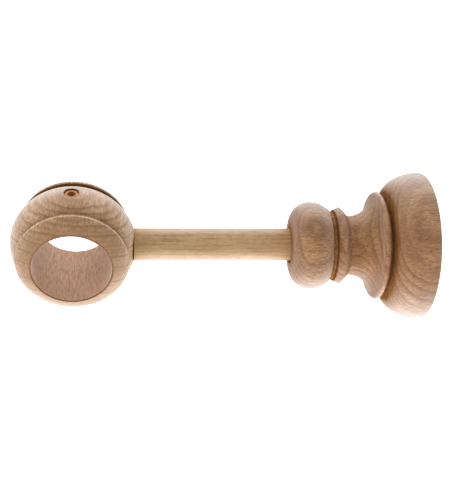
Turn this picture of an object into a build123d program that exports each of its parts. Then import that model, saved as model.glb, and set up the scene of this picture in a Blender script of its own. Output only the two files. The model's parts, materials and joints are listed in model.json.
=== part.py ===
from build123d import *
import os
from math import asin, degrees, sqrt

# Turned beech bracket for a 28 mm curtain pole, held by a stud on a wall plate.
# Origin: centre of the wall face. +X points into the wall, +Z up, the pole lies along Y.
# Sizes in millimetres. AT and FROM values are distances from the wall.

# Driving dimensions
WALL_DISTANCE = 130.0      # wall to pole centre
POLE_BORE_R = 14.1         # clears a 28 mm pole
BALL_R = 22.9              # largest radius of the ring head
HEAD_WIDTH = 30.6          # ring head along the pole
STEM_R = 6.0               # 12 mm dowel
STEM_RISE = 0.5            # the stem's seat is drilled this much above the rosette's axis
ROSETTE_R = 27.6           # largest radius, close to the wall
ROSETTE_LENGTH = 50.0      # wall to the front of the rosette
RUNNING = 0.05             # radial clearance of a turning or glued fit

# Ring head, drawn as (distance from the middle, radius)
BEAD_ARC_R = 12.2          # profile arc of the middle bead
LAND_R = 20.15             # narrow land round the outer edge of each cap
LAND_WIDTH = 1.35
CAP_START = 11.3           # from the middle to the outer edge of the land
CAP_BULGE = 0.5            # sagitta of the domed cap
MOUTH_STEP_R = 14.6        # small step round each mouth of the pole bore
MOUTH_STEP_DEPTH = 0.25
BORE_EASE = 0.1
LOCK_HOLE_R = 1.55
LOCK_RECESS_R = 2.65
LOCK_RECESS_FLOOR = 22.0   # above the pole's axis
LOCK_HOLE_DEPTH = 10.0      # from the recess, breaks into the pole bore
SEAT_DISTANCE = 22.1       # pole axis to the flat on which the stem butts
SEAT_R = 6.4

# Stem and the pin between stem and head
STEM_FOOT_AT = 29.0
PIN_R = 3.0
PIN_IN_HEAD = 6.4
PIN_IN_STEM = 14.0
PIN_END_GAP = 0.5
PIN_CHAMFER = 0.5
FLUTE_R = 0.35
FLUTE_COUNT = 12

# Rosette, from the stem to the wall
MOUTH_R = 6.6
MOUTH_DEPTH = 4.0
BEAD_AT = 42.6
BEAD_R = 16.35
BEAD_FRONT_ARC = 7.1
BEAD_REAR_ARC = 10.3
NOTCH_AT = 35.8
NOTCH_R = 12.2
COLLAR_CUT_AT = 34.0       # narrow cut in the front slope of the collar
COLLAR_CUT_WIDTH = 0.9
COLLAR_CUT_DEPTH = 1.0
COLLAR_AT = 31.5
COLLAR_R = 14.4
COLLAR_LAND = 0.3
COLLAR_FOOT_AT = 28.6
COLLAR_FOOT_R = 11.5
NECK_AT = 27.6
NECK_R = 11.15
COVE_ARC = 9.3
COVE_SWEEP = 76.0          # degrees of cove from the neck to the flange
FLANGE_AT = 17.2
FLANGE_R = 20.35
FLANGE_SWEEP = 150.0       # degrees of nose from the cove, over the crest, towards the groove
GROOVE_AT = 15.0
GROOVE_R = 17.4
DOME_AT = 1.4
DOME_LENGTH = 12.75
DOME_RISE = 9.0
DOME_FROM_ANGLE = 6.0
BACK_ROUND = 0.9

# Inside the rosette
WEB_BACK_AT = 24.0
WEB_HOLE_R = 2.3
RECESS_R = 18.5
RECESS_DEPTH = 3.2

# Hardware
SCREW_R = 2.0
SCREW_LENGTH = 28.0
SCREW_TIP_LENGTH = 4.0
SCREW_HEAD_R = 3.9
SCREW_HEAD_HEIGHT = 2.4
SCREW_SLOT_WIDTH = 1.0
SCREW_SLOT_DEPTH = 1.2
WASHER_R = 4.5
WASHER_THICK = 0.8
INSERT_R = 6.0
INSERT_FROM = 3.6
INSERT_TO = 18.6
INSERT_GROOVE_PITCH = 3.0
INSERT_GROOVE_COUNT = 4
INSERT_GROOVE_WIDTH = 1.0
INSERT_GROOVE_DEPTH = 0.35
STUD_R = 3.0
STUD_TIP_AT = 17.0
STUD_HEAD_R = 5.4
STUD_HEAD_DEPTH = 2.0
PLATE_R = 18.0
PLATE_THICK = 3.0
PLATE_HOLE_R = 2.25
PLATE_SINK_R = 4.0
PLATE_HOLE_SPACING = 22.0
EDGE = 0.4

# Profiles of turned pieces lie in this plane: x runs from the wall into the room, y is the radius.
TURNING_PLANE = Plane(origin=(0, 0, 0), x_dir=(-1, 0, 0), z_dir=(0, 1, 0))
STEM_PLANE = Plane(origin=(0, 0, STEM_RISE), x_dir=(-1, 0, 0), z_dir=(0, 1, 0))
STEM_AXIS = Axis((0, 0, STEM_RISE), (1, 0, 0))
HEAD_CENTRE = (-WALL_DISTANCE, 0, STEM_RISE)
HEAD_PLANE = Plane(origin=HEAD_CENTRE, x_dir=(0, 1, 0), z_dir=(1, 0, 0))
POLE_AXIS = Axis(HEAD_CENTRE, (0, 1, 0))
STEM_HEAD_AT = WALL_DISTANCE - SEAT_DISTANCE


def facing_room(distance, height=0.0):
    """Plane across the stem, at a distance from the wall, looking into the room."""
    return Plane(origin=(-distance, 0, height), x_dir=(0, 1, 0), z_dir=(-1, 0, 0))


def facing_wall(distance, height=0.0):
    """Plane across the stem, at a distance from the wall, looking at the wall."""
    return Plane(origin=(-distance, 0, height), x_dir=(0, 1, 0), z_dir=(1, 0, 0))


# Ring head: a ball with a middle bead and two stepped caps, bored for the pole.
with BuildPart() as ring_head:
    land_inner = CAP_START - LAND_WIDTH
    bead_end_r = BALL_R - BEAD_ARC_R + sqrt(BEAD_ARC_R**2 - land_inner**2)
    half_width = HEAD_WIDTH / 2
    ledge_at = half_width - MOUTH_STEP_DEPTH
    with BuildSketch(HEAD_PLANE):
        with BuildLine():
            Polyline((land_inner, bead_end_r), (land_inner, LAND_R), (CAP_START, LAND_R))
            SagittaArc((CAP_START, LAND_R), (half_width, MOUTH_STEP_R), CAP_BULGE)
            Polyline(
                (half_width, MOUTH_STEP_R),
                (ledge_at, MOUTH_STEP_R),
                (ledge_at, POLE_BORE_R + BORE_EASE),
                (ledge_at - BORE_EASE, POLE_BORE_R),
            )
            mirror(about=Plane.YZ)
            ThreePointArc((-land_inner, bead_end_r), (0, BALL_R), (land_inner, bead_end_r))
            Line((BORE_EASE - ledge_at, POLE_BORE_R), (ledge_at - BORE_EASE, POLE_BORE_R))
        make_face()
    revolve(axis=POLE_AXIS)
    # recess and hole for the lock screw, from the top into the pole bore
    recess_plane = Plane.XY.offset(STEM_RISE + LOCK_RECESS_FLOOR)
    with BuildSketch(recess_plane):
        with Locations((-WALL_DISTANCE, 0)):
            Circle(LOCK_RECESS_R)
    extrude(amount=BALL_R - LOCK_RECESS_FLOOR + EDGE, mode=Mode.SUBTRACT)
    with BuildSketch(recess_plane):
        with Locations((-WALL_DISTANCE, 0)):
            Circle(LOCK_HOLE_R)
    extrude(amount=-LOCK_HOLE_DEPTH, mode=Mode.SUBTRACT)
    # flat seat for the end of the stem, and the hole for its pin
    with BuildSketch(facing_wall(STEM_HEAD_AT, STEM_RISE)):
        Circle(SEAT_R)
    extrude(amount=SEAT_R, mode=Mode.SUBTRACT)
    with BuildSketch(facing_wall(STEM_HEAD_AT, STEM_RISE)):
        Circle(PIN_R + RUNNING)
    extrude(amount=-(PIN_IN_HEAD + PIN_END_GAP), mode=Mode.SUBTRACT)
ring_head.part.label = "ring_head"

# Fluted pin, glued into head and stem.
with BuildPart() as head_dowel:
    with BuildSketch(facing_wall(STEM_HEAD_AT + PIN_IN_HEAD, STEM_RISE)):
        Circle(PIN_R)
        with PolarLocations(PIN_R, FLUTE_COUNT):
            Circle(FLUTE_R, mode=Mode.SUBTRACT)
    extrude(amount=PIN_IN_HEAD + PIN_IN_STEM)
    ends = head_dowel.faces().filter_by(Axis.X)
    rims = ends.edges().filter_by(GeomType.CIRCLE).filter_by(lambda e: e.radius > FLUTE_R + EDGE)
    chamfer(rims, PIN_CHAMFER)
head_dowel.part.label = "head_dowel"

# Stem: round dowel, drilled for the pin at the head and for the screw at the foot.
with BuildPart() as stem:
    with BuildSketch(facing_room(STEM_FOOT_AT, STEM_RISE)):
        Circle(STEM_R)
    extrude(amount=STEM_HEAD_AT - STEM_FOOT_AT)
    chamfer(stem.edges().group_by(Axis.X)[-1], EDGE)
    with BuildSketch(facing_wall(STEM_HEAD_AT, STEM_RISE)):
        Circle(PIN_R + RUNNING)
    extrude(amount=PIN_IN_STEM + PIN_END_GAP, mode=Mode.SUBTRACT)
    with BuildSketch(facing_room(STEM_FOOT_AT, STEM_RISE)):
        Circle(SCREW_R + RUNNING)
    extrude(amount=SCREW_LENGTH, mode=Mode.SUBTRACT)
stem.part.label = "stem"

# Rosette: one turned piece with a bead, a collar, a neck, a flange and a dome.
with BuildPart() as rosette:
    bead_rear_r = BEAD_R - BEAD_REAR_ARC + sqrt(BEAD_REAR_ARC**2 - (BEAD_AT - NOTCH_AT) ** 2)
    bead_rear_angle = degrees(asin((BEAD_AT - NOTCH_AT) / BEAD_REAR_ARC))
    bead_front = (BEAD_AT + BEAD_FRONT_ARC, BEAD_R - BEAD_FRONT_ARC)
    dome_centre_r = ROSETTE_R - DOME_RISE
    collar_slope = (COLLAR_R - NOTCH_R) / (NOTCH_AT - COLLAR_AT)
    cut_front_at = COLLAR_CUT_AT + COLLAR_CUT_WIDTH / 2
    cut_rear_at = COLLAR_CUT_AT - COLLAR_CUT_WIDTH / 2
    cut_front_r = NOTCH_R + collar_slope * (NOTCH_AT - cut_front_at)
    cut_rear_r = NOTCH_R + collar_slope * (NOTCH_AT - cut_rear_at)
    with BuildSketch(TURNING_PLANE):
        with BuildLine():
            Polyline((ROSETTE_LENGTH, 0), (ROSETTE_LENGTH, MOUTH_R + EDGE), bead_front)
            CenterArc((BEAD_AT, BEAD_R - BEAD_FRONT_ARC), BEAD_FRONT_ARC, 0, 90)
            CenterArc((BEAD_AT, BEAD_R - BEAD_REAR_ARC), BEAD_REAR_ARC, 90, bead_rear_angle)
            Polyline(
                (NOTCH_AT, bead_rear_r),
                (NOTCH_AT, NOTCH_R),
                (cut_front_at, cut_front_r),
                (COLLAR_CUT_AT, cut_rear_r - COLLAR_CUT_DEPTH),
                (cut_rear_at, cut_rear_r),
                (COLLAR_AT, COLLAR_R),
                (COLLAR_AT - COLLAR_LAND, COLLAR_R),
                (COLLAR_FOOT_AT, COLLAR_FOOT_R),
                (NECK_AT, NECK_R),
            )
            cove = CenterArc((NECK_AT, NECK_R + COVE_ARC), COVE_ARC, 270, -COVE_SWEEP)
            knee = cove @ 1
            nose = EllipticalCenterArc(
                (FLANGE_AT, knee.Y), knee.X - FLANGE_AT, FLANGE_R - knee.Y, arc_size=FLANGE_SWEEP
            )
            dome = EllipticalCenterArc(
                (DOME_AT, dome_centre_r), DOME_LENGTH, DOME_RISE,
                start_angle=DOME_FROM_ANGLE, arc_size=90 - DOME_FROM_ANGLE,
            )
            Polyline(nose @ 1, (GROOVE_AT, GROOVE_R), dome @ 0)
            Line(dome @ 1, (BACK_ROUND, ROSETTE_R))
            CenterArc((BACK_ROUND, ROSETTE_R - BACK_ROUND), BACK_ROUND, 90, 90)
            Polyline((0, ROSETTE_R - BACK_ROUND), (0, 0), (ROSETTE_LENGTH, 0))
        make_face()
    revolve(axis=Axis.X)
    # from the front: eased mouth, then the seat of the stem
    with BuildSketch(facing_room(ROSETTE_LENGTH)):
        Circle(MOUTH_R)
    extrude(amount=-MOUTH_DEPTH, mode=Mode.SUBTRACT)
    with BuildSketch(facing_room(STEM_FOOT_AT, STEM_RISE)):
        Circle(STEM_R + RUNNING)
    extrude(amount=ROSETTE_LENGTH - STEM_FOOT_AT - MOUTH_DEPTH, mode=Mode.SUBTRACT)
    # from the back: recess for the plate, well for insert and screw head, hole through the web
    with BuildSketch(facing_room(0)):
        Circle(RECESS_R)
    extrude(amount=RECESS_DEPTH, mode=Mode.SUBTRACT)
    with BuildSketch(facing_room(0)):
        Circle(INSERT_R + RUNNING)
    extrude(amount=WEB_BACK_AT, mode=Mode.SUBTRACT)
    with BuildSketch(facing_room(WEB_BACK_AT, STEM_RISE)):
        Circle(WEB_HOLE_R)
    extrude(amount=STEM_FOOT_AT - WEB_BACK_AT, mode=Mode.SUBTRACT)
rosette.part.label = "rosette"

# Washer and wood screw that hold the stem in the rosette. The thread is a plain shank.
with BuildPart() as stem_washer:
    with BuildSketch(facing_wall(WEB_BACK_AT, STEM_RISE)):
        Circle(WASHER_R)
        Circle(SCREW_R + RUNNING, mode=Mode.SUBTRACT)
    extrude(amount=WASHER_THICK)
stem_washer.part.label = "stem_washer"

with BuildPart() as stem_screw:
    head_face_at = WEB_BACK_AT - WASHER_THICK
    shank_end_at = head_face_at + SCREW_LENGTH
    with BuildSketch(STEM_PLANE):
        with BuildLine():
            Polyline(
                (head_face_at, SCREW_HEAD_R),
                (head_face_at, SCREW_R),
                (shank_end_at - SCREW_TIP_LENGTH, SCREW_R),
                (shank_end_at, 0),
                (head_face_at - SCREW_HEAD_HEIGHT, 0),
            )
            EllipticalCenterArc(
                (head_face_at, 0), SCREW_HEAD_HEIGHT, SCREW_HEAD_R, start_angle=90, arc_size=90
            )
        make_face()
    revolve(axis=STEM_AXIS)
    with BuildSketch(facing_wall(head_face_at - SCREW_HEAD_HEIGHT, STEM_RISE)):
        for turn in (0, 90):
            Rectangle(SCREW_HEAD_R, SCREW_SLOT_WIDTH, rotation=turn)
    extrude(amount=-SCREW_SLOT_DEPTH, mode=Mode.SUBTRACT)
stem_screw.part.label = "stem_screw"

# Ribbed insert with a bore for the stud.
with BuildPart() as threaded_insert:
    with BuildSketch(facing_room(INSERT_FROM)):
        Circle(INSERT_R)
        Circle(STUD_R + RUNNING, mode=Mode.SUBTRACT)
    extrude(amount=INSERT_TO - INSERT_FROM)
    for groove in range(1, INSERT_GROOVE_COUNT + 1):
        with BuildSketch(facing_room(INSERT_FROM + groove * INSERT_GROOVE_PITCH)):
            Circle(INSERT_R)
            Circle(INSERT_R - INSERT_GROOVE_DEPTH, mode=Mode.SUBTRACT)
        extrude(amount=INSERT_GROOVE_WIDTH, mode=Mode.SUBTRACT)
threaded_insert.part.label = "threaded_insert"

# Wall plate, with two sunk holes for the wall screws and a sunk hole for the stud's head.
with BuildPart() as wall_plate:
    with BuildSketch(facing_room(0)):
        Circle(PLATE_R)
    extrude(amount=PLATE_THICK)
    chamfer(wall_plate.edges().group_by(Axis.X)[0], EDGE)
    with BuildSketch(TURNING_PLANE):
        with BuildLine():
            Polyline(
                (0, 0), (0, STUD_HEAD_R), (STUD_HEAD_DEPTH, STUD_R), (PLATE_THICK, STUD_R),
                (PLATE_THICK, 0), close=True,
            )
        make_face()
    revolve(axis=Axis.X, mode=Mode.SUBTRACT)
    with Locations(facing_room(PLATE_THICK)):
        with GridLocations(PLATE_HOLE_SPACING, 1, 2, 1):
            CounterSinkHole(PLATE_HOLE_R, PLATE_SINK_R, PLATE_THICK)
wall_plate.part.label = "wall_plate"

# Stud, riveted flush into the plate. The thread is a plain shank.
with BuildPart() as wall_stud:
    with BuildSketch(TURNING_PLANE):
        with BuildLine():
            Polyline(
                (0, 0), (0, STUD_HEAD_R), (STUD_HEAD_DEPTH, STUD_R), (STUD_TIP_AT - EDGE, STUD_R),
                (STUD_TIP_AT, STUD_R - EDGE), (STUD_TIP_AT, 0), close=True,
            )
        make_face()
    revolve(axis=Axis.X)
wall_stud.part.label = "wall_stud"

PIECES = [
    ring_head, head_dowel, stem, rosette, stem_washer, stem_screw, threaded_insert, wall_plate,
    wall_stud,
]

os.makedirs("parts", exist_ok=True)
for piece in PIECES:
    export_step(piece.part, f"parts/{piece.part.label}.step")
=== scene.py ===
import json
from math import cos, radians, sin

import bpy
from mathutils import Matrix, Vector


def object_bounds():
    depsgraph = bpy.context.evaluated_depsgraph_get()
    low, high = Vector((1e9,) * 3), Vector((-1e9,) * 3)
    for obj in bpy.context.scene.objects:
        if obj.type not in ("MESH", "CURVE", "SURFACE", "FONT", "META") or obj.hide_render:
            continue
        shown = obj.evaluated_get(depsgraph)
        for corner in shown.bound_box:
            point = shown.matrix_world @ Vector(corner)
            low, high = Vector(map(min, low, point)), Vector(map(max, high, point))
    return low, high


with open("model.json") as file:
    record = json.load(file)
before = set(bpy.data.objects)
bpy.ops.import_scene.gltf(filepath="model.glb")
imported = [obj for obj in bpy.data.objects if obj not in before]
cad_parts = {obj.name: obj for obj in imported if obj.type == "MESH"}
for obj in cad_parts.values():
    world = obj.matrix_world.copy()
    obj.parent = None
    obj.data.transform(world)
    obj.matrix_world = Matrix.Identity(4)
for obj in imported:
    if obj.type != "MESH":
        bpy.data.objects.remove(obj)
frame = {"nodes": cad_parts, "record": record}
cad_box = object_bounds()

MM = 0.001
SCENE = bpy.context.scene

# ---------------------------------------------------------------- camera

CAMERA_YAW = radians(6.14)         # turned towards the wall end of the stem
CAMERA_TILT = radians(35.53)       # looks down on the pole's axis
CAMERA_DISTANCE = 342.5 * MM
CAMERA_LENS = 70.5                 # on a 36 mm sensor along the long side
AIM_ALONG_STEM = 55.45 * MM        # from the ring's centre to the middle of the picture
AIM_UP = 2.0 * MM


def mount_point(name):
    """Where a mount of the record is, in the row frame."""
    return Vector(next(m["pos_m"] for m in frame["record"]["mounts"] if m["name"] == name))


RING_CENTRE = mount_point("pole_bore")
VIEW_RIGHT = Vector((
    cos(CAMERA_YAW), -sin(CAMERA_YAW) * cos(CAMERA_TILT), sin(CAMERA_YAW) * sin(CAMERA_TILT)
))
VIEW_UP = Vector((0.0, sin(CAMERA_TILT), cos(CAMERA_TILT)))
TO_CAMERA = VIEW_RIGHT.cross(VIEW_UP)
AIM = RING_CENTRE + AIM_ALONG_STEM * VIEW_RIGHT + AIM_UP * VIEW_UP


def looking(position, right, up):
    """A pose at position with the given right and up axes, looking along minus their product."""
    axes = Matrix((right, up, right.cross(up))).transposed()
    return Matrix.Translation(position) @ axes.to_4x4()


def add_camera():
    camera = bpy.data.objects.new("camera", bpy.data.cameras.new("camera"))
    camera.data.lens = CAMERA_LENS
    camera.data.clip_start = 0.01
    camera.data.clip_end = 50.0
    camera.matrix_world = looking(AIM + CAMERA_DISTANCE * TO_CAMERA, VIEW_RIGHT, VIEW_UP)
    SCENE.collection.objects.link(camera)
    SCENE.camera = camera


# ---------------------------------------------------------------- shader helper

class Shader:
    """Short names for the nodes of one material."""

    def __init__(self, name):
        self.material = bpy.data.materials.new(name)
        self.material.use_nodes = True
        self.tree = self.material.node_tree
        self.bsdf = self.tree.nodes["Principled BSDF"]

    def node(self, kind, inputs=None, **settings):
        made = self.tree.nodes.new(kind)
        for key, value in settings.items():
            setattr(made, key, value)
        for key, value in (inputs or {}).items():
            self.feed(value, made.inputs[key])
        return made

    def feed(self, value, socket):
        if isinstance(value, bpy.types.NodeSocket):
            self.tree.links.new(value, socket)
        else:
            socket.default_value = value

    def math(self, operation, *values, clamp=False):
        inputs = dict(enumerate(values))
        return self.node("ShaderNodeMath", inputs, operation=operation, use_clamp=clamp).outputs[0]

    def dot(self, a, b):
        made = self.node("ShaderNodeVectorMath", {0: a, 1: b}, operation="DOT_PRODUCT")
        return made.outputs["Value"]

    def vector(self, x, y, z):
        return self.node("ShaderNodeCombineXYZ", {0: x, 1: y, 2: z}).outputs[0]

    def noise(self, where, scale=1.0, detail=2.0, roughness=0.5, distortion=0.0):
        made = self.node("ShaderNodeTexNoise", {
            "Vector": where, "Scale": scale, "Detail": detail,
            "Roughness": roughness, "Distortion": distortion,
        })
        return made.outputs["Fac"]

    def step(self, value, low, high, to_low=0.0, to_high=1.0):
        """Smooth step of value from low to high, clamped."""
        made = self.node("ShaderNodeMapRange", {
            "Value": value, "From Min": low, "From Max": high, "To Min": to_low, "To Max": to_high,
        }, interpolation_type="SMOOTHSTEP")
        return made.outputs["Result"]

    def mix(self, factor, a, b, blend="MIX"):
        made = self.node("ShaderNodeMix", data_type="RGBA", blend_type=blend, clamp_factor=True)
        self.feed(factor, made.inputs[0])
        self.feed(a, made.inputs[6])
        self.feed(b, made.inputs[7])
        return made.outputs[2]

    def position(self):
        """Point on the surface in millimetres of the row frame, moving with the piece."""
        where = self.node("ShaderNodeTexCoord").outputs["Object"]
        scaled = self.node("ShaderNodeVectorMath", {0: where}, operation="SCALE")
        scaled.inputs["Scale"].default_value = 1000.0
        return scaled.outputs[0]

    def put(self, **inputs):
        for key, value in inputs.items():
            self.feed(value, self.bsdf.inputs[key.replace("_", " ")])

    def bump(self, height, strength, distance_mm):
        made = self.node("ShaderNodeBump", {
            "Height": height, "Strength": strength, "Distance": distance_mm * MM,
        })
        self.feed(made.outputs[0], self.bsdf.inputs["Normal"])


def colour(r, g, b):
    return (r, g, b, 1.0)


# ---------------------------------------------------------------- beech

# Tints that multiply the body tone of a piece, per channel
BARE = (1.64, 1.66, 1.70)
DARK_GRAIN = (0.76, 0.56, 0.38)
WARM_GRAIN = (1.20, 0.98, 0.96)
LATE_WOOD = (0.56, 0.37, 0.22)
PALE_LINE = (1.6, 1.65, 1.7)
RAY = (0.40, 0.29, 0.20)
END_GRAIN = (0.62, 0.50, 0.40)
LIFTED_FIBRE = (1.3, 1.4, 1.5)
TORN_FIBRE = (0.6, 0.45, 0.4)
# painted shade: the dark line round the mouth of a hole
MOUTH_SHADE_LINE = (0.42, 0.24, 0.16)
# dirt and painted shade, laid where hollows and crevices see little open sky
HOLLOW_DIRT_AND_SHADE = (0.40, 0.28, 0.18)
CREVICE_DIRT_AND_SHADE = (0.40, 0.26, 0.16)
# pale edges: rubbed wear, and a painted highlight where edges catch the light
RUBBED_AND_HIGHLIT = (2.1, 1.9, 1.2)

# Reach (mm) within which the surface counts as a crevice, a hollow or a sheltered face
CREVICE_REACH = 1.0
HOLLOW_REACH = 3.0
SHELTER_REACH = 12.0
EDGE_BAND = 0.30                   # mm, width of a rubbed edge band, on the wood also painted lighter as a highlight
SPECULAR = 0.2
SHEEN_ROUGHNESS = 0.51
RELIEF = 0.05                      # mm, height of the raised grain
RING_WANDER = 2.6                  # mm, slow drift of the rings along the piece
RING_WAVER = 0.5                   # mm, fine waviness of the rings
RING_UNEVENNESS = 1.8              # years that the ring count runs ahead or behind
SEED_STEP = 37.0                   # mm along the fibre between the noise of two pieces
HOLE_MARGIN = 0.2                  # mm by which a torn wall stays inside its radius


def product(tint, other):
    return tuple(a * b for a, b in zip(tint, other))


class Beech(Shader):
    """Raw turned beech of the given body tone. Growth rings are tubes along the fibre, round a
    pith that lies `pith` mm behind the point `through`, against ring_normal. Millimetres."""

    def __init__(self, name, body, fibre, ring_normal, through, pith, seed):
        super().__init__(name)
        self.body = body
        self.seed = seed
        self.fibre = Vector(fibre).normalized()
        normal = Vector(ring_normal)
        self.ring_normal = (normal - normal.dot(self.fibre) * self.fibre).normalized()
        tangent = self.fibre.cross(self.ring_normal)
        through = Vector(through)
        self.point = self.position()
        self.along = self.math("ADD", self.dot(self.point, self.fibre), seed * SEED_STEP)
        self.out = self.math(
            "SUBTRACT", self.dot(self.point, self.ring_normal), through.dot(self.ring_normal) - pith
        )
        self.side = self.math("SUBTRACT", self.dot(self.point, tangent), through.dot(tangent))
        self.facing = self.node("ShaderNodeTexCoord").outputs["Normal"]
        self.tone = None

    def tint(self, red, green, blue):
        """The body tone, scaled per channel."""
        return colour(self.body[0] * red, self.body[1] * green, self.body[2] * blue)

    def lay(self, cover, tint):
        """Lay a tint over the tone made so far."""
        self.tone = self.mix(cover, self.tone, self.tint(*tint))

    def scaled(self, value, factor):
        return self.math("MULTIPLY", value, factor)

    def centred(self, noise, spread):
        """Noise of 0 to 1 spread evenly about zero."""
        return self.math("MULTIPLY_ADD", noise, spread, -spread / 2)

    def grain(self, per_along, per_side, per_out, **options):
        """Noise stretched over the given lengths along the fibre, sideways and outwards."""
        where = self.vector(
            self.math("DIVIDE", self.along, per_along),
            self.math("DIVIDE", self.side, per_side),
            self.math("DIVIDE", self.out, per_out),
        )
        return self.noise(where, **options)

    def growth_rings(self, spacing):
        """Late wood and pale line of the rings: each ring darkens slowly outwards and ends in a
        thin pale line. Faces cut flat along the rings show them softly."""
        square = [self.math("POWER", distance, 2.0) for distance in (self.out, self.side)]
        radius = self.math("SQRT", self.math("ADD", *square))
        wander = self.centred(self.grain(60.0, 14.0, 14.0, detail=1.0), RING_WANDER)
        waver = self.centred(self.grain(7.0, 2.0, 2.5, detail=2.0), RING_WAVER)
        radius = self.math("ADD", radius, self.math("ADD", wander, waver))
        year = self.math("DIVIDE", radius, spacing)
        uneven = self.noise(self.vector(year, self.seed, 0.0), scale=0.45, detail=1.0)
        year = self.math("MULTIPLY_ADD", uneven, RING_UNEVENNESS, year)
        phase = self.math("FRACT", year)
        vigour = self.node(
            "ShaderNodeTexWhiteNoise", {"W": self.math("FLOOR", year)}, noise_dimensions="1D"
        ).outputs["Value"]
        late = self.math(
            "MULTIPLY", self.step(phase, 0.10, 0.72), self.step(phase, 0.84, 0.72)
        )
        late = self.math("MULTIPLY", late, self.math("MULTIPLY_ADD", vigour, 0.8, 0.2))
        flat_cut = self.math("ABSOLUTE", self.dot(self.facing, self.ring_normal))
        flat_cut = self.step(flat_cut, 0.60, 1.0)
        late = self.math("MULTIPLY", late, self.math("MULTIPLY_ADD", flat_cut, -0.5, 1.0))
        pale = self.math(
            "MULTIPLY", self.step(phase, 0.74, 0.88), self.step(phase, 1.0, 0.92)
        )
        pale = self.math("MULTIPLY", pale, self.math("MULTIPLY_ADD", vigour, 0.4, 0.6))
        return late, pale

    def tear_hole(self, axis, middle, start, hole_radius, tint):
        """Torn, bare wall of a hole that runs on from start along its axis, with a dark line of
        painted shade round its mouth. Returns where the wall and the line are."""
        axis, middle = Vector(axis), Vector(middle)
        reached = self.math("GREATER_THAN", self.dot(self.point, axis), middle.dot(axis) + start)
        first = axis.orthogonal().normalized()
        second = axis.cross(first)
        away = [
            self.math("SUBTRACT", self.dot(self.point, v), middle.dot(v)) for v in (first, second)
        ]
        square = [self.math("POWER", distance, 2.0) for distance in away]
        from_axis = self.math("SQRT", self.math("ADD", *square))
        wall = self.math("LESS_THAN", from_axis, hole_radius - HOLE_MARGIN)
        wall = self.math("MULTIPLY", wall, reached)
        self.lay(self.scaled(wall, 0.8), tint)
        fibres = self.grain(3.5, 0.42, 0.42, detail=3.0, roughness=0.7)
        lifted = self.math("MULTIPLY", wall, self.step(fibres, 0.50, 0.36))
        self.lay(self.scaled(lifted, 0.70), product(tint, LIFTED_FIBRE))
        torn_out = self.math("MULTIPLY", wall, self.step(fibres, 0.50, 0.66))
        self.lay(self.scaled(torn_out, 0.80), product(tint, TORN_FIBRE))
        # dark line of painted shade in the corner round the mouth
        line = self.math("ABSOLUTE", self.math("SUBTRACT", from_axis, hole_radius))
        line = self.math("MULTIPLY", self.step(line, 0.50, 0.20, 0.0, 0.80), reached)
        self.lay(line, MOUTH_SHADE_LINE)
        return wall, line

    def openness(self, reach):
        """How much of the sky within reach (mm) of the surface is free: 1 on a convex face."""
        near = self.node("ShaderNodeAmbientOcclusion", {"Distance": reach * MM}, samples=8)
        return near.outputs["AO"]

    def sharpness(self):
        """1 where the surface bends within the width of an edge band, 0 on flat faces."""
        rounded = self.node("ShaderNodeBevel", {"Radius": EDGE_BAND * MM}, samples=6).outputs[0]
        flat = self.node("ShaderNodeNewGeometry").outputs["Normal"]
        return self.step(self.dot(rounded, flat), 0.955, 0.86)


def wood_figure(s, spacing, bands, lines, mottle, flecks):
    """Base tone with rings, broad tones, streaks, rays and fine vessels. Returns the relief and
    the streaks."""
    late, pale = s.growth_rings(spacing)
    broad = s.grain(30.0, 9.0, 7.0, detail=3.0)
    patch = s.grain(9.0, 3.2, 3.2, detail=2.0)
    warm = s.grain(24.0, 13.0, 16.0, detail=2.0)
    streak = s.grain(14.0, 0.8, 0.8, detail=2.0)
    rays = s.step(s.grain(1.6, 0.26, 2.0, detail=2.0, roughness=0.6), 0.47, 0.62)
    crowd = s.step(patch, 0.35, 0.60, 0.80, 1.0)
    rays = s.math("MULTIPLY", rays, crowd)
    vessels = s.step(s.grain(3.6, 0.28, 0.28, detail=2.0), 0.46, 0.70)

    s.tone = s.tint(*BARE)
    s.lay(s.scaled(s.step(broad, 0.38, 0.62), 0.70 * mottle), DARK_GRAIN)
    s.lay(s.scaled(s.step(patch, 0.40, 0.66), 0.12 * mottle), DARK_GRAIN)
    s.lay(s.scaled(s.step(warm, 0.4, 0.65), 0.5 * mottle), WARM_GRAIN)
    s.lay(s.scaled(late, 0.65 * bands), LATE_WOOD)
    s.lay(s.scaled(pale, 0.75 * lines), PALE_LINE)
    s.lay(s.scaled(s.step(streak, 0.42, 0.70), 0.45), DARK_GRAIN)
    s.lay(s.scaled(rays, 0.75 * flecks), RAY)
    s.lay(s.scaled(vessels, 0.60 * flecks), RAY)

    relief = s.math("ADD", s.scaled(late, 0.4), s.scaled(rays, -0.5))
    relief = s.math("ADD", relief, s.scaled(vessels, -0.6))
    relief = s.math("ADD", relief, s.scaled(streak, 0.3))
    return relief, streak


def torn_and_shaded_bands(s, torn, dark_bands, dark_band_tint, raw):
    """Darkened rings with torn edges: torn grain, and painted shade in grooves and corners. Returns
    where they are.
    """
    darkened = 0.0
    for at, reach, strength in dark_bands:
        off_centre = s.math("SUBTRACT", s.dot(s.point, s.fibre), at)
        off_centre = s.math("ABSOLUTE", s.math("MULTIPLY_ADD", torn, 0.6 * reach, off_centre))
        # the band darkens the wood: torn grain, and painted shade in grooves and corners
        band = s.step(off_centre, reach, 0.3 * reach, 0.0, strength)
        band = s.math("MULTIPLY", band, s.math("SUBTRACT", 1.0, raw))
        s.lay(band, dark_band_tint)
        darkened = s.math("MAXIMUM", darkened, band)
    return darkened


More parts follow.
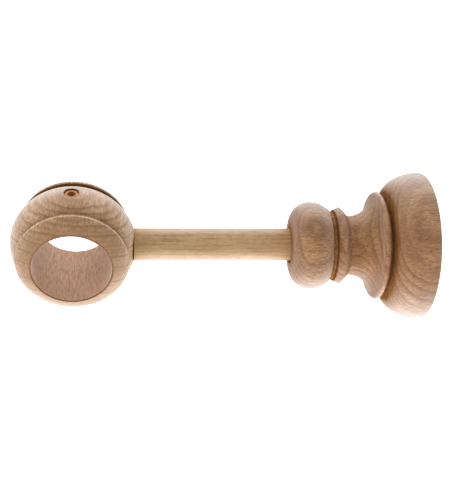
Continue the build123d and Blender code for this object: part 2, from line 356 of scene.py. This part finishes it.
def dirt_shade_and_bright_edges(s, torn, dirt_and_shade, mouth):
    """Dirt and painted shade in crevices and hollows, and pale rubbed edges with a painted
    highlight. Returns where the edges are.
    """
    crevice, hollow = s.openness(CREVICE_REACH), s.openness(HOLLOW_REACH)
    # darker where little sky is open: dirt and painted shade in hollows and crevices
    hollow_dirt_and_shade = s.math("MULTIPLY_ADD", torn, 0.10, hollow)
    s.lay(s.step(hollow_dirt_and_shade, 0.62, 0.22, 0.0, 0.25 * dirt_and_shade), HOLLOW_DIRT_AND_SHADE)
    s.lay(s.step(crevice, 0.90, 0.58, 0.0, 0.40 * dirt_and_shade), CREVICE_DIRT_AND_SHADE)
    # convex edges painted paler: rubbed wear and a painted highlight
    edge = s.math("MULTIPLY", s.sharpness(), s.step(hollow, 0.62, 0.85))
    edge = s.math("MULTIPLY", edge, s.math("SUBTRACT", 1.0, mouth))
    s.lay(s.scaled(edge, 0.8), RUBBED_AND_HIGHLIT)
    return edge


def beech(name, body, fibre, ring_normal, through, pith, spacing, seed,
          bands=1.0, lines=1.0, mottle=1.0, flecks=1.0, dirt_and_shade=1.0, end_tone=0.4,
          dark_bands=(), dark_band_tint=(0.34, 0.24, 0.15), drilled=()):
    """Beech material of one piece. The arguments from bands to end_tone say how strongly the late
    wood, the pale lines, the broad tones, the rays and vessels, the dirt and painted crevice shade
    and the end grain show. The dark rings, torn grain and painted shade in grooves and corners, are
    listed as (place along the fibre, half width, strength), and `drilled` lists the torn holes as
    (axis, through, start, radius, tint). Millimetres."""
    s = Beech(name, body, fibre, ring_normal, through, pith, seed)
    relief, streak = wood_figure(s, spacing, bands, lines, mottle, flecks)

    raw, mouth = 0.0, 0.0
    for hole in drilled:
        wall, line = s.tear_hole(*hole)
        raw = s.math("MAXIMUM", raw, wall)
        mouth = s.math("MAXIMUM", mouth, line)

    end_grain = s.step(s.math("ABSOLUTE", s.dot(s.facing, s.fibre)), 0.40, 1.0)
    s.lay(s.scaled(end_grain, end_tone), END_GRAIN)
    torn = s.centred(s.grain(2.6, 0.7, 0.7, detail=3.0, roughness=0.6), 2.4)
    darkened = torn_and_shaded_bands(s, torn, dark_bands, dark_band_tint, raw)
    edge = dirt_shade_and_bright_edges(s, torn, dirt_and_shade, mouth)

    # raised fibres catch light, except where the surface is sheltered, in a darkened band, on a
    # torn hole wall or on a pale edge
    fuzz = s.step(s.openness(SHELTER_REACH), 0.68, 0.98)
    fuzz = s.math("MULTIPLY", fuzz, s.math("SUBTRACT", 1.0, darkened))
    fuzz = s.math("MULTIPLY", fuzz, s.math("MULTIPLY_ADD", raw, -0.5, 1.0))
    fuzz = s.math("MULTIPLY", fuzz, s.math("MULTIPLY_ADD", edge, -0.8, 1.0))
    s.bump(relief, 0.5, RELIEF)
    s.put(
        Base_Color=s.tone,
        Roughness=s.math("MULTIPLY_ADD", streak, 0.16, 0.40),
        Specular_IOR_Level=s.scaled(fuzz, SPECULAR),
        Sheen_Weight=s.math("MULTIPLY", fuzz, s.math("MULTIPLY_ADD", end_grain, -0.6, 1.0)),
        Sheen_Roughness=SHEEN_ROUGHNESS,
        Sheen_Tint=colour(1.0, 1.0, 1.0),
    )
    return s.material


# ---------------------------------------------------------------- metal

def plated(name, bright, dull, metallic=0.9):
    """Zinc-plated steel: cloudy tone, fine scratches, worn edges."""
    s = Shader(name)
    p = s.position()
    cloud = s.noise(p, scale=0.35, detail=4.0, roughness=0.6)
    spangle = s.node("ShaderNodeTexVoronoi", {"Vector": p, "Scale": 0.9}).outputs["Distance"]
    scratched = s.node("ShaderNodeMapping", {"Vector": p, "Scale": (0.15, 6.0, 0.4)}).outputs[0]
    scratches = s.noise(scratched, scale=1.2, detail=3.0)
    tone = s.mix(s.step(cloud, 0.35, 0.65), bright, dull)
    tone = s.mix(s.math("MULTIPLY", spangle, 0.25), tone, dull)
    rounded = s.node("ShaderNodeBevel", {"Radius": EDGE_BAND * MM}, samples=6).outputs[0]
    flat = s.node("ShaderNodeNewGeometry").outputs["Normal"]
    edge = s.step(s.dot(rounded, flat), 0.98, 0.88)
    tone = s.mix(s.math("MULTIPLY", edge, 0.5), tone, colour(0.85, 0.85, 0.84))
    rough = s.math("MULTIPLY_ADD", scratches, 0.25, 0.22)
    s.bump(scratches, 0.35, 0.03)
    s.put(Base_Color=tone, Roughness=rough, Metallic=metallic)
    return s.material


# ---------------------------------------------------------------- materials on the pieces

RING_MM = RING_CENTRE / MM
POLE_BORE = ((0, 1, 0), RING_MM, -20.0, 14.6, (1.14, 1.07, 1.18))      # with its step
LOCK_HOLE = ((0, 0, 1), RING_MM, 15.0, 2.7, (1.50, 1.00, 0.65))        # with its recess
HEAD_BODY = (0.415, 0.262, 0.142)
STEM_BODY = (0.345, 0.218, 0.104)
ROSETTE_BODY = (0.298, 0.157, 0.066)
# darkened rings of the rosette: torn grain, partly painted shade in the grooves and the cut
ROSETTE_DARK_BANDS = (
    (-14.6, 1.6, 0.15),      # groove between flange and dome
    (-30.2, 1.5, 0.15),      # rear slope of the collar
    (-34.0, 0.9, 0.20),      # narrow cut in the collar
)
# painted shade in the corners between the bead and the lands of the head
HEAD_CORNER_SHADE = (
    (-9.8, 1.2, 0.80),       # corners between the bead and the two lands
    (9.8, 1.2, 0.80),
)

MATERIALS = {
    "rosette": beech(
        "beech_rosette", ROSETTE_BODY, fibre=(1, 0, 0), ring_normal=(0, -0.588, 0.809),
        through=(0, 0, 0), pith=55.0, spacing=2.4, seed=3.0, mottle=0.8, bands=1.5, flecks=0.8,
        dirt_and_shade=0.2, dark_bands=ROSETTE_DARK_BANDS, dark_band_tint=(0.62, 0.44, 0.28),
    ),
    "ring_head": beech(
        "beech_head", HEAD_BODY, fibre=(0, 1, 0), ring_normal=(0.06, 0, 1),
        through=RING_MM, pith=90.0, spacing=1.5, seed=7.0, bands=1.4, lines=0.1,
        mottle=0.6, flecks=0.7, end_tone=0.6, dark_bands=HEAD_CORNER_SHADE,
        drilled=(POLE_BORE, LOCK_HOLE),
    ),
    "stem": beech(
        "beech_stem", STEM_BODY, fibre=(1, 0, 0), ring_normal=(0, -0.9, -0.4),
        through=(0, 0, 0), pith=60.0, spacing=2.4, seed=11.0,
        bands=0.35, lines=0.2, mottle=0.35, flecks=0.28,
    ),
    "head_dowel": beech(
        "beech_pin", STEM_BODY, fibre=(1, 0, 0), ring_normal=(0, 0, 1),
        through=RING_MM, pith=40.0, spacing=1.8, seed=17.0, bands=0.6, lines=0.3, mottle=0.4,
    ),
    "wall_plate": plated("zinc_plate", colour(0.62, 0.63, 0.65), colour(0.42, 0.43, 0.45)),
    "wall_stud": plated("zinc_stud", colour(0.66, 0.67, 0.68), colour(0.46, 0.47, 0.50)),
    "threaded_insert": plated("zinc_insert", colour(0.60, 0.61, 0.63), colour(0.38, 0.39, 0.42)),
    "stem_washer": plated("zinc_washer", colour(0.64, 0.65, 0.66), colour(0.45, 0.46, 0.48)),
    "stem_screw": plated("yellow_zinc_screw", colour(0.78, 0.62, 0.30), colour(0.52, 0.42, 0.24)),
}

for name, material in MATERIALS.items():
    mesh = frame["nodes"][name].data
    mesh.materials.clear()
    mesh.materials.append(material)


# ---------------------------------------------------------------- studio

FLOOR_BELOW = 600 * MM
FLOOR_SIZE = 12.0
FLOOR_WHITE = 0.9
WORLD_GLOW = 0.74                  # as a light source; the camera sees plain white


def add_light(name, direction, distance, width, height, power):
    """Soft white area light that faces the object from the given direction. Metres and watts."""
    light = bpy.data.lights.new(name, "AREA")
    light.shape = "RECTANGLE"
    light.size = width
    light.size_y = height
    light.energy = power
    lamp = bpy.data.objects.new(name, light)
    back = direction.normalized()
    right = Vector((1.0, 0.0, 0.0))
    right = (right - right.dot(back) * back).normalized()
    middle = Vector((RING_CENTRE.x / 2, 0.0, 0.0))
    lamp.matrix_world = looking(middle + distance * back, right, back.cross(right))
    SCENE.collection.objects.link(lamp)


def add_floor():
    half = FLOOR_SIZE / 2
    z = cad_box[0][2] - FLOOR_BELOW
    mesh = bpy.data.meshes.new("floor")
    corners = [(-half, -half, z), (half, -half, z), (half, half, z), (-half, half, z)]
    mesh.from_pydata(corners, [], [(0, 1, 2, 3)])
    floor = bpy.data.objects.new("floor", mesh)
    s = Shader("pale_floor")
    s.put(Base_Color=colour(FLOOR_WHITE, FLOOR_WHITE, FLOOR_WHITE), Roughness=0.9)
    seen = s.node("ShaderNodeLightPath").outputs["Is Camera Ray"]
    s.put(Emission_Color=colour(1.0, 1.0, 1.0), Emission_Strength=seen)
    mesh.materials.append(s.material)
    SCENE.collection.objects.link(floor)


def add_studio():
    SCENE.view_settings.view_transform = "Standard"
    world = bpy.data.worlds.new("studio")
    world.use_nodes = True
    background = world.node_tree.nodes["Background"].inputs
    background["Color"].default_value = colour(1.0, 1.0, 1.0)
    seen = world.node_tree.nodes.new("ShaderNodeLightPath").outputs["Is Camera Ray"]
    blend = world.node_tree.nodes.new("ShaderNodeMapRange")
    blend.inputs["To Min"].default_value = WORLD_GLOW
    world.node_tree.links.new(seen, blend.inputs["Value"])
    world.node_tree.links.new(blend.outputs["Result"], background["Strength"])
    SCENE.world = world
    behind = -0.4 * TO_CAMERA
    before = 0.6 * TO_CAMERA
    wall_side = Vector((1.0, 0.0, 0.0))
    add_light("upper", VIEW_UP + behind, 0.7, 0.9, 0.5, 4.5)
    add_light("lower_back", -VIEW_UP + behind, 0.35, 0.6, 0.3, 2.20)
    add_light("lower_front", -VIEW_UP + before, 0.35, 0.6, 0.3, 0.42)
    add_light("room_side", -wall_side + before / 2, 0.7, 0.5, 0.5, 1.60)
    add_floor()


add_camera()
add_studio()
